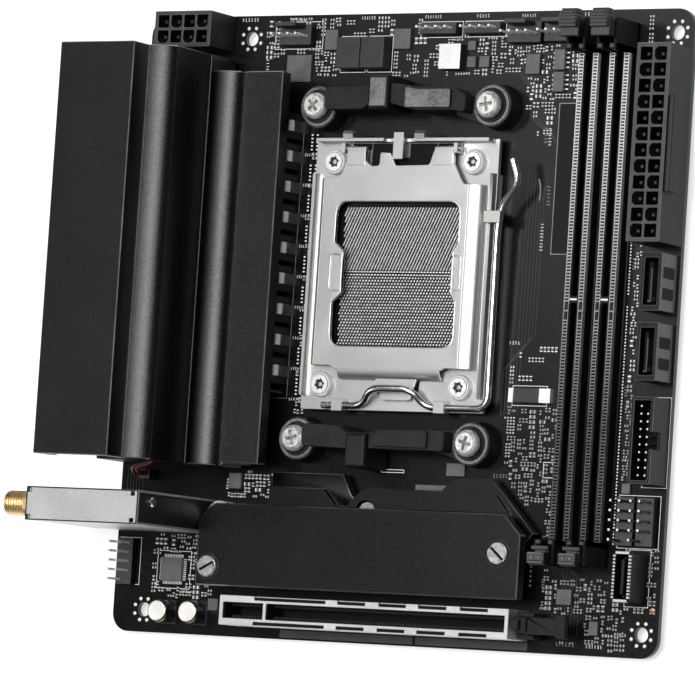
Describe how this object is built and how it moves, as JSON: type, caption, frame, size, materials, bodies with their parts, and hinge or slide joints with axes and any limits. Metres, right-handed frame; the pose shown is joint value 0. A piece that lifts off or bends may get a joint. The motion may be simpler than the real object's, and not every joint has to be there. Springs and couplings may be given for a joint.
{
  "type": "motherboard",
  "caption": "Compact square computer motherboard with a hinged processor clamp, memory and expansion slots, stepped black heatsinks, power headers and rear ports.",
  "frame": {"origin": "centre of the rear lower mounting hole, on the underside of the circuit board", "axes": "+X away from the rear connector edge, +Y along the rear edge away from the expansion slot, +Z out of the component side"},
  "size_m": [0.1839, 0.17, 0.0454],
  "materials": {
    "board_laminate": "satin black solder mask over glass-epoxy laminate",
    "backplate_steel": "satin black painted steel",
    "insulator_film": "black insulating film",
    "plain_steel": "nickel plated steel",
    "load_plate_steel": "satin stainless steel with fine rolling grain",
    "socket_plastic": "matte glass-filled plastic",
    "gold_contact": "gold plated contact springs",
    "black_plastic": "moulded black plastic",
    "black_aluminium": "fine blasted and black anodised aluminium",
    "black_steel": "black coated steel",
    "chip_package": "moulded epoxy package",
    "thermal_pad": "soft grey silicone pad",
    "bright_pin": "tin and gold plated copper alloy",
    "capacitor_can": "pale coated aluminium can with black sleeve",
    "ferrite": "moulded ferrite block",
    "module_shield": "thin tinned shield can",
    "gold_connector": "gold plated brass",
    "port_shell": "drawn stainless port shell",
    "blue_plastic": "moulded contact tongue",
    "battery_sleeve": "black heat-shrink sleeve over a coin cell",
    "red_wire": "insulated lead",
    "solder": "bright solder"
  },
  "bodies": {
    "board": {"pcb": "board_laminate", "backplate": "backplate_steel", "backplate_insulator": "insulator_film", "backplate_posts": "plain_steel", "socket_body": "socket_plastic", "socket_contacts": "gold_contact", "socket_frame": "plain_steel", "socket_screws": "plain_steel", "cooler_bracket_upper": "black_plastic", "cooler_bracket_lower": "black_plastic", "bracket_screws": "plain_steel", "rear_heatsink": "black_aluminium", "vrm_mosfets": "chip_package", "heatsink_screws": "plain_steel", "m2_heatsink": "black_aluminium", "thermal_pads": "thermal_pad", "m2_screws": "black_steel", "m2_standoffs": "plain_steel", "chipset_heatsink": "black_aluminium", "chipset": "chip_package", "pcie_shield": "black_steel", "pcie_slot": "black_plastic", "dimm_slot_a": "black_plastic", "dimm_slot_b": "black_plastic", "slot_contacts": "gold_contact", "atx_power_header": "black_plastic", "eps_power_header": "black_plastic", "sata_ports": "black_plastic", "usb3_header": "black_plastic", "usbc_header": "plain_steel", "fan_headers": "black_plastic", "connector_pins": "bright_pin", "audio_capacitors": "capacitor_can", "power_chokes": "ferrite", "ic_packages": "chip_package", "component_leads": "bright_pin", "wifi_bracket": "black_steel", "wifi_end_cap": "black_plastic", "wifi_card": "module_shield", "m2_sockets": "black_plastic", "antenna_jacks": "gold_connector", "audio_jacks": "black_plastic", "lan_usb_stack": "port_shell", "usb_stack": "port_shell", "usbc_stack": "port_shell", "display_stack": "port_shell", "port_tongues": "blue_plastic", "cmos_battery": "battery_sleeve", "pin_headers": "black_plastic", "battery_lead": "red_wire", "solder_joints": "solder"},
    "load_plate": {"load_plate": "load_plate_steel"},
    "load_lever": {"load_lever": "plain_steel"},
    "pcie_latch": {"pcie_latch": "black_plastic"},
    "dimm_latch_a_upper": {"dimm_latch_a_upper": "black_plastic"},
    "dimm_latch_a_lower": {"dimm_latch_a_lower": "black_plastic"},
    "dimm_latch_b_upper": {"dimm_latch_b_upper": "black_plastic"},
    "dimm_latch_b_lower": {"dimm_latch_b_lower": "black_plastic"}
  },
  "joints": [
    {"name": "load_plate_hinge", "type": "hinge", "parent": "board", "child": "load_plate", "pos_m": [0.07684, 0.12643, 0.007], "axis": [-1, 0, 0], "range_deg": [0, 105]},
    {"name": "load_lever_pivot", "type": "hinge", "parent": "board", "child": "load_lever", "pos_m": [0.07684, 0.05723, 0.00595], "axis": [1, 0, 0], "range_deg": [0, 115]},
    {"name": "pcie_latch_pivot", "type": "hinge", "parent": "board", "child": "pcie_latch", "pos_m": [0.12444, 0.00083, 0.005], "axis": [0, 1, 0], "range_deg": [0, 20]},
    {"name": "memory_latch_a_upper_pivot", "type": "hinge", "parent": "board", "child": "dimm_latch_a_upper", "pos_m": [0.13134, 0.15743, 0.005], "axis": [-1, 0, 0], "range_deg": [0, 25]},
    {"name": "memory_latch_a_lower_pivot", "type": "hinge", "parent": "board", "child": "dimm_latch_a_lower", "pos_m": [0.13134, 0.01923, 0.005], "axis": [1, 0, 0], "range_deg": [0, 25]},
    {"name": "memory_latch_b_upper_pivot", "type": "hinge", "parent": "board", "child": "dimm_latch_b_upper", "pos_m": [0.14059, 0.15743, 0.005], "axis": [-1, 0, 0], "range_deg": [0, 25]},
    {"name": "memory_latch_b_lower_pivot", "type": "hinge", "parent": "board", "child": "dimm_latch_b_lower", "pos_m": [0.14059, 0.01923, 0.005], "axis": [1, 0, 0], "range_deg": [0, 25]}
  ]
}
